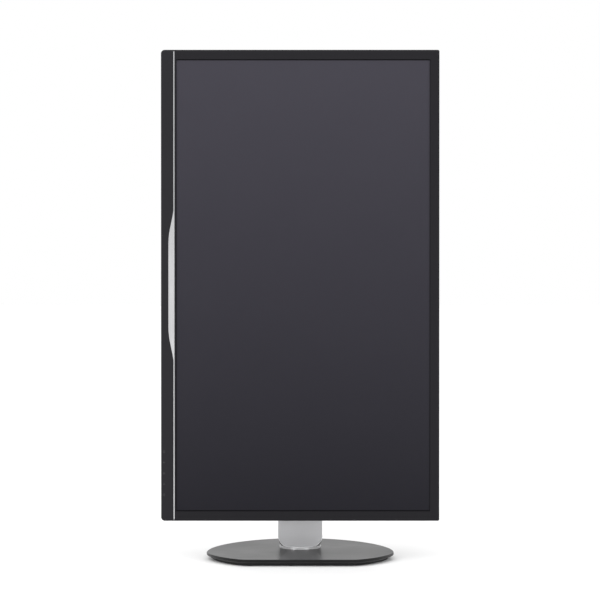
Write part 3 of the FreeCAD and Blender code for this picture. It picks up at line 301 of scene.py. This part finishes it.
edge_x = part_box("front_bezel")[0][0]
for name in ("key_input", "key_volume", "key_menu", "key_back", "key_power"):
    low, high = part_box(name)
    flat_piece("mark_" + name, mark_shapes(name, edge_x + CHIN_MARK_X, (low[2] + high[2]) / 2))


# ---------------------------------------------------------------- fine lines
SHIELD_CORNER, SHIELD_RISE = 0.0185, 0.0035  # the mast shield's lower corners, and how far its face bows


def shield_edge_highlight(inset, radius):
    """A painted highlight: a near-white line along the shield's lower edge, tapering off up both sides, in
    place of the light the rounded edge catches.
    """
    low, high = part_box("mast_front_cover")
    half, corner = (high[0] - low[0]) / 2, SHIELD_CORNER
    bow = (half ** 2 + SHIELD_RISE ** 2) / (2 * SHIELD_RISE)
    reach, bottom = corner - inset, low[2] + inset
    flank = [(half - inset, bottom + reach + 0.002 * i) for i in range(8, 0, -1)]
    turn = [math.radians(-7.5 * i) for i in range(13)]
    bend = [(half - corner + reach * math.cos(t), bottom + reach + reach * math.sin(t)) for t in turn]
    run = [((half - corner) * (1 - i / 8), bottom) for i in range(1, 9)]
    side = flank + bend + run
    line = side + [(-x, z) for x, z in side[-2::-1]]
    points = [Vector((x, low[1] + 0.0002 + bow - math.sqrt(bow ** 2 - x ** 2), z)) for x, z in line]
    mesh = bmesh.new()
    rings = []
    for i, point in enumerate(points):
        along = (points[min(i + 1, len(points) - 1)] - points[max(i - 1, 0)]).normalized()
        out = along.cross(Vector((0, -1, 0))).normalized()
        face = out.cross(along)
        thick = radius * min(1.0, 0.15 + 0.085 * min(i, len(points) - 1 - i))
        rings.append([mesh.verts.new(point + (out * math.cos(a) + face * math.sin(a)) * thick)
                      for a in (math.radians(45 * k) for k in range(8))])
    for ring, after in zip(rings, rings[1:]):
        for k in range(8):
            mesh.faces.new((ring[k], ring[(k + 1) % 8], after[(k + 1) % 8], after[k])).smooth = True
    mesh.faces.new(rings[0])
    mesh.faces.new(rings[-1])
    new_piece("painted_edge_highlight", mesh, EDGE_HIGHLIGHT, "mast")


PANEL_HIDDEN = 0.0032  # how far the panel reaches behind the bezel
BORDER_LAP = 0.001  # how much of that the dark border covers


def border_print_and_shade(width):
    """The black border on the glass along the bezel, a third as wide at the sides: part print, and widened at
    the top and bottom as painted shade under the bezel's lip.
    """
    low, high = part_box("lcd_panel")
    left, right = low[0] + PANEL_HIDDEN, high[0] - PANEL_HIDDEN
    bottom, top = low[2] + PANEL_HIDDEN, high[2] - PANEL_HIDDEN
    front, back = low[1] - 0.00015, low[1] + 0.00005
    mesh = bmesh.new()
    for x0, x1, z0, z1 in (
        (left - BORDER_LAP, right + BORDER_LAP, top - width, top + BORDER_LAP),
        (left - BORDER_LAP, right + BORDER_LAP, bottom - BORDER_LAP, bottom + width),
        (left - BORDER_LAP, left + width / 3, bottom + width, top - width),
        (right - width / 3, right + BORDER_LAP, bottom + width, top - width),
    ):
        corners = [(x0, z0), (x1, z0), (x1, z1), (x0, z1)]
        fronts = [mesh.verts.new((x, front, z)) for x, z in corners]
        backs = [mesh.verts.new((x, back, z)) for x, z in corners]
        mesh.faces.new(fronts)
        mesh.faces.new(backs)
        for i in range(4):
            j = (i + 1) % 4
            mesh.faces.new((fronts[i], fronts[j], backs[j], backs[i]))
    new_piece("border_print_and_shade", mesh, BORDER_AND_SHADE, "display")


# painted highlight along the mast shield's lower edge
shield_edge_highlight(0.0004, 0.0007)
border_print_and_shade(0.0012)


# ---------------------------------------------------------------- stage
def studio_floor():
    """A pale floor just below the feet."""
    mesh = bmesh.new()
    size, step, drop = 40.0, 16, 0.0002
    marks = [-size + 2 * size * i / step for i in range(step + 1)]
    grid = [[mesh.verts.new((x, y, -drop)) for x in marks] for y in marks]
    for j in range(step):
        for i in range(step):
            mesh.faces.new((grid[j][i], grid[j][i + 1], grid[j + 1][i + 1], grid[j + 1][i]))
    data = bpy.data.meshes.new("floor")
    mesh.to_mesh(data)
    mesh.free()
    floor = bpy.data.objects.new("floor", data)
    bpy.context.scene.collection.objects.link(floor)
    floor.data.materials.append(FLOOR)


FLOOR = textured("floor_white", (0.90, 0.90, 0.90), 0.9, specular=0.1, grain=40, bump=0.0, spread=0.004,
                 rough_spread=0.02)
studio_floor()


def softbox(name, place, target, width, height, watts):
    light = bpy.data.lights.new(name, "AREA")
    light.shape = "RECTANGLE"
    light.size, light.size_y = width, height
    light.energy = watts
    lamp = bpy.data.objects.new(name, light)
    bpy.context.scene.collection.objects.link(lamp)
    lamp.location = place
    lamp.rotation_euler = (Vector(target) - Vector(place)).to_track_quat("-Z", "Y").to_euler()


softbox("key_light", (-1.8, -1.6, 1.4), (0, 0, 0.2), 1.4, 1.4, 16)
softbox("fill_light", (1.9, -1.5, 1.2), (0, 0, 0.2), 1.4, 1.4, 11)
softbox("front_light", (0, -4.2, 2.9), (0, 0, 0.5), 2.6, 1.4, 40)
softbox("low_left", (-0.9, -1.4, 0.28), (0, 0, 0.1), 0.5, 0.3, 2.5)
softbox("low_right", (0.9, -1.4, 0.28), (0, 0, 0.1), 0.5, 0.3, 2.5)
sun = bpy.data.objects.new("sky_light", bpy.data.lights.new("sky_light", "SUN"))
sun.data.energy = 0.65
sun.data.angle = math.radians(70)
sun.rotation_euler = (math.radians(-12), math.radians(-14), 0)
bpy.context.scene.collection.objects.link(sun)

world = bpy.data.worlds.new("studio")
world.use_nodes = True
world.node_tree.nodes["Background"].inputs["Color"].default_value = (1, 1, 1, 1)
world.node_tree.nodes["Background"].inputs["Strength"].default_value = 1.0
bpy.context.scene.world = world
bpy.context.scene.view_settings.view_transform = "Standard"

# ---------------------------------------------------------------- camera
CAMERA_DISTANCE = 3.15  # from the bezel's face
CAMERA_DIP = 0.415  # degrees below level

joints = frame["record"]["behaviour"]["joints"]
axis_z = next(j["pos_m"][2] for j in joints if j["name"] == "pivot")
camera_data = bpy.data.cameras.new("camera")
camera_data.sensor_width = 36.0
camera_data.lens = 120.0
camera_data.shift_x = -0.2 / 600
camera = bpy.data.objects.new("camera", camera_data)
bpy.context.scene.collection.objects.link(camera)
camera.location = (0.0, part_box("front_bezel")[0][1] - CAMERA_DISTANCE, axis_z)
camera.rotation_euler = (math.radians(90 - CAMERA_DIP), 0, 0)
bpy.context.scene.camera = camera
